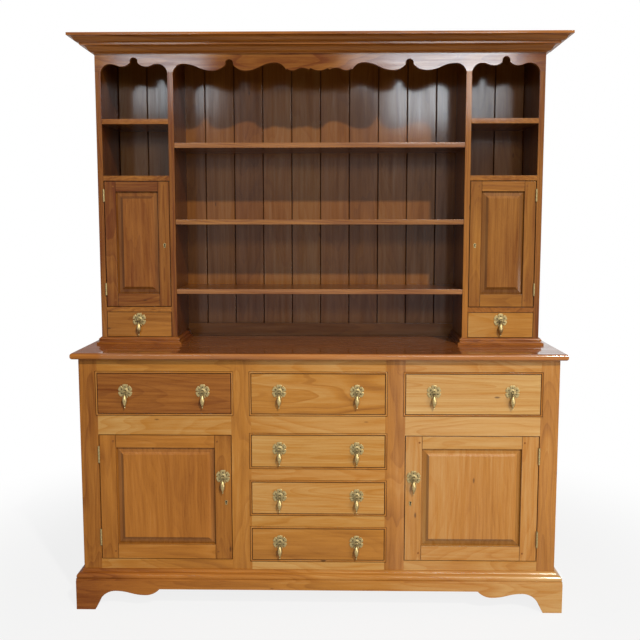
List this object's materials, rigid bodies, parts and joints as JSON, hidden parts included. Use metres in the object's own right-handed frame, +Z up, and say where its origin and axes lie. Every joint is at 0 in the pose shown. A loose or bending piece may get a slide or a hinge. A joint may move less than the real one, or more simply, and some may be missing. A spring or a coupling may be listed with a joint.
{
  "type": "open dresser with plate rack",
  "caption": "Wooden dresser with drawers and panelled doors on bracket feet, an open plate rack above with scalloped frieze, end cupboards and hanging brass pulls.",
  "frame": {"origin": "on the floor, under the middle of the cabinet's width and depth", "axes": "+Z up, front faces -Y, +X to the right as seen from the front"},
  "size_m": [1.736, 0.496, 1.994],
  "materials": {
    "cherry": "polished",
    "worktop": "polished",
    "back_boards": "polished",
    "drawer_wood": "waxed",
    "brass": "antique"
  },
  "bodies": {
    "cabinet": {"base_sides": "cherry", "base_partitions": "cherry", "base_floor": "cherry", "base_back_boards": "back_boards", "base_posts": "cherry", "base_rails": "cherry", "drawer_runners": "drawer_wood", "cupboard_shelves": "cherry", "worktop": "worktop", "plinth": "cherry", "plinth_moulding": "cherry", "rack_uprights": "cherry", "rack_top_board": "cherry", "rack_back_boards": "back_boards", "plate_shelves": "cherry", "side_bay_boards": "cherry", "frieze": "cherry", "cornice": "cherry", "rack_foot_moulding": "cherry", "frame_hinge_leaves": "brass"},
    "drawer_top_left": {"drawer_top_left": "drawer_wood", "pull_roses_top_left": "brass"},
    "pull_drop_top_left_1": {"pull_drop_top_left_1": "brass"},
    "pull_drop_top_left_2": {"pull_drop_top_left_2": "brass"},
    "drawer_top_centre": {"drawer_top_centre": "drawer_wood", "pull_roses_top_centre": "brass"},
    "pull_drop_top_centre_1": {"pull_drop_top_centre_1": "brass"},
    "pull_drop_top_centre_2": {"pull_drop_top_centre_2": "brass"},
    "drawer_top_right": {"drawer_top_right": "drawer_wood", "pull_roses_top_right": "brass"},
    "pull_drop_top_right_1": {"pull_drop_top_right_1": "brass"},
    "pull_drop_top_right_2": {"pull_drop_top_right_2": "brass"},
    "drawer_upper_centre": {"drawer_upper_centre": "drawer_wood", "pull_roses_upper_centre": "brass"},
    "pull_drop_upper_centre_1": {"pull_drop_upper_centre_1": "brass"},
    "pull_drop_upper_centre_2": {"pull_drop_upper_centre_2": "brass"},
    "drawer_middle_centre": {"drawer_middle_centre": "drawer_wood", "pull_roses_middle_centre": "brass"},
    "pull_drop_middle_centre_1": {"pull_drop_middle_centre_1": "brass"},
    "pull_drop_middle_centre_2": {"pull_drop_middle_centre_2": "brass"},
    "drawer_lower_centre": {"drawer_lower_centre": "drawer_wood", "pull_roses_lower_centre": "brass"},
    "pull_drop_lower_centre_1": {"pull_drop_lower_centre_1": "brass"},
    "pull_drop_lower_centre_2": {"pull_drop_lower_centre_2": "brass"},
    "drawer_rack_left": {"drawer_rack_left": "drawer_wood", "pull_roses_rack_left": "brass"},
    "pull_drop_rack_left": {"pull_drop_rack_left": "brass"},
    "drawer_rack_right": {"drawer_rack_right": "drawer_wood", "pull_roses_rack_right": "brass"},
    "pull_drop_rack_right": {"pull_drop_rack_right": "brass"},
    "door_base_left": {"door_base_left": "cherry", "door_base_left_brassware": "brass"},
    "pull_drop_door_base_left": {"pull_drop_door_base_left": "brass"},
    "door_base_right": {"door_base_right": "cherry", "door_base_right_brassware": "brass"},
    "pull_drop_door_base_right": {"pull_drop_door_base_right": "brass"},
    "door_rack_left": {"door_rack_left": "cherry", "door_rack_left_brassware": "brass"},
    "door_rack_right": {"door_rack_right": "cherry", "door_rack_right_brassware": "brass"}
  },
  "joints": [
    {"name": "drawer_top_left_slide", "type": "slide", "parent": "cabinet", "child": "drawer_top_left", "axis": [0, -1, 0], "range_m": [0, 0.34]},
    {"name": "pull_drop_top_left_1_swing", "type": "hinge", "parent": "drawer_top_left", "child": "pull_drop_top_left_1", "pos_m": [-0.661, -0.232, 0.7715], "axis": [-1, 0, 0], "range_deg": [0, 85]},
    {"name": "pull_drop_top_left_2_swing", "type": "hinge", "parent": "drawer_top_left", "child": "pull_drop_top_left_2", "pos_m": [-0.395, -0.232, 0.7715], "axis": [-1, 0, 0], "range_deg": [0, 85]},
    {"name": "drawer_top_centre_slide", "type": "slide", "parent": "cabinet", "child": "drawer_top_centre", "axis": [0, -1, 0], "range_m": [0, 0.34]},
    {"name": "pull_drop_top_centre_1_swing", "type": "hinge", "parent": "drawer_top_centre", "child": "pull_drop_top_centre_1", "pos_m": [-0.133, -0.232, 0.7715], "axis": [-1, 0, 0], "range_deg": [0, 85]},
    {"name": "pull_drop_top_centre_2_swing", "type": "hinge", "parent": "drawer_top_centre", "child": "pull_drop_top_centre_2", "pos_m": [0.133, -0.232, 0.7715], "axis": [-1, 0, 0], "range_deg": [0, 85]},
    {"name": "drawer_top_right_slide", "type": "slide", "parent": "cabinet", "child": "drawer_top_right", "axis": [0, -1, 0], "range_m": [0, 0.34]},
    {"name": "pull_drop_top_right_1_swing", "type": "hinge", "parent": "drawer_top_right", "child": "pull_drop_top_right_1", "pos_m": [0.395, -0.232, 0.7715], "axis": [-1, 0, 0], "range_deg": [0, 85]},
    {"name": "pull_drop_top_right_2_swing", "type": "hinge", "parent": "drawer_top_right", "child": "pull_drop_top_right_2", "pos_m": [0.661, -0.232, 0.7715], "axis": [-1, 0, 0], "range_deg": [0, 85]},
    {"name": "drawer_upper_centre_slide", "type": "slide", "parent": "cabinet", "child": "drawer_upper_centre", "axis": [0, -1, 0], "range_m": [0, 0.34]},
    {"name": "pull_drop_upper_centre_1_swing", "type": "hinge", "parent": "drawer_upper_centre", "child": "pull_drop_upper_centre_1", "pos_m": [-0.133, -0.232, 0.5715], "axis": [-1, 0, 0], "range_deg": [0, 85]},
    {"name": "pull_drop_upper_centre_2_swing", "type": "hinge", "parent": "drawer_upper_centre", "child": "pull_drop_upper_centre_2", "pos_m": [0.133, -0.232, 0.5715], "axis": [-1, 0, 0], "range_deg": [0, 85]},
    {"name": "drawer_middle_centre_slide", "type": "slide", "parent": "cabinet", "child": "drawer_middle_centre", "axis": [0, -1, 0], "range_m": [0, 0.34]},
    {"name": "pull_drop_middle_centre_1_swing", "type": "hinge", "parent": "drawer_middle_centre", "child": "pull_drop_middle_centre_1", "pos_m": [-0.133, -0.232, 0.4055], "axis": [-1, 0, 0], "range_deg": [0, 85]},
    {"name": "pull_drop_middle_centre_2_swing", "type": "hinge", "parent": "drawer_middle_centre", "child": "pull_drop_middle_centre_2", "pos_m": [0.133, -0.232, 0.4055], "axis": [-1, 0, 0], "range_deg": [0, 85]},
    {"name": "drawer_lower_centre_slide", "type": "slide", "parent": "cabinet", "child": "drawer_lower_centre", "axis": [0, -1, 0], "range_m": [0, 0.34]},
    {"name": "pull_drop_lower_centre_1_swing", "type": "hinge", "parent": "drawer_lower_centre", "child": "pull_drop_lower_centre_1", "pos_m": [-0.133, -0.232, 0.2395], "axis": [-1, 0, 0], "range_deg": [0, 85]},
    {"name": "pull_drop_lower_centre_2_swing", "type": "hinge", "parent": "drawer_lower_centre", "child": "pull_drop_lower_centre_2", "pos_m": [0.133, -0.232, 0.2395], "axis": [-1, 0, 0], "range_deg": [0, 85]},
    {"name": "drawer_rack_left_slide", "type": "slide", "parent": "cabinet", "child": "drawer_rack_left", "axis": [0, -1, 0], "range_m": [0, 0.17]},
    {"name": "pull_drop_rack_left_swing", "type": "hinge", "parent": "drawer_rack_left", "child": "pull_drop_rack_left", "pos_m": [-0.654, -0.025, 0.995], "axis": [-1, 0, 0], "range_deg": [0, 85]},
    {"name": "drawer_rack_right_slide", "type": "slide", "parent": "cabinet", "child": "drawer_rack_right", "axis": [0, -1, 0], "range_m": [0, 0.17]},
    {"name": "pull_drop_rack_right_swing", "type": "hinge", "parent": "drawer_rack_right", "child": "pull_drop_rack_right", "pos_m": [0.654, -0.025, 0.995], "axis": [-1, 0, 0], "range_deg": [0, 85]},
    {"name": "door_base_left_hinge", "type": "hinge", "parent": "cabinet", "child": "door_base_left", "pos_m": [-0.7568, -0.2236, 0.3975], "axis": [0, 0, -1], "range_deg": [0, 170]},
    {"name": "pull_drop_door_base_left_swing", "type": "hinge", "parent": "door_base_left", "child": "pull_drop_door_base_left", "pos_m": [-0.329, -0.232, 0.472], "axis": [-1, 0, 0], "range_deg": [0, 85]},
    {"name": "door_base_right_hinge", "type": "hinge", "parent": "cabinet", "child": "door_base_right", "pos_m": [0.7568, -0.2236, 0.3975], "axis": [0, 0, 1], "range_deg": [0, 170]},
    {"name": "pull_drop_door_base_right_swing", "type": "hinge", "parent": "door_base_right", "child": "pull_drop_door_base_right", "pos_m": [0.329, -0.232, 0.472], "axis": [-1, 0, 0], "range_deg": [0, 85]},
    {"name": "door_rack_left_hinge", "type": "hinge", "parent": "cabinet", "child": "door_rack_left", "pos_m": [-0.7708, -0.0166, 1.268], "axis": [0, 0, -1], "range_deg": [0, 170]},
    {"name": "door_rack_right_hinge", "type": "hinge", "parent": "cabinet", "child": "door_rack_right", "pos_m": [0.7708, -0.0166, 1.268], "axis": [0, 0, 1], "range_deg": [0, 170]}
  ]
}
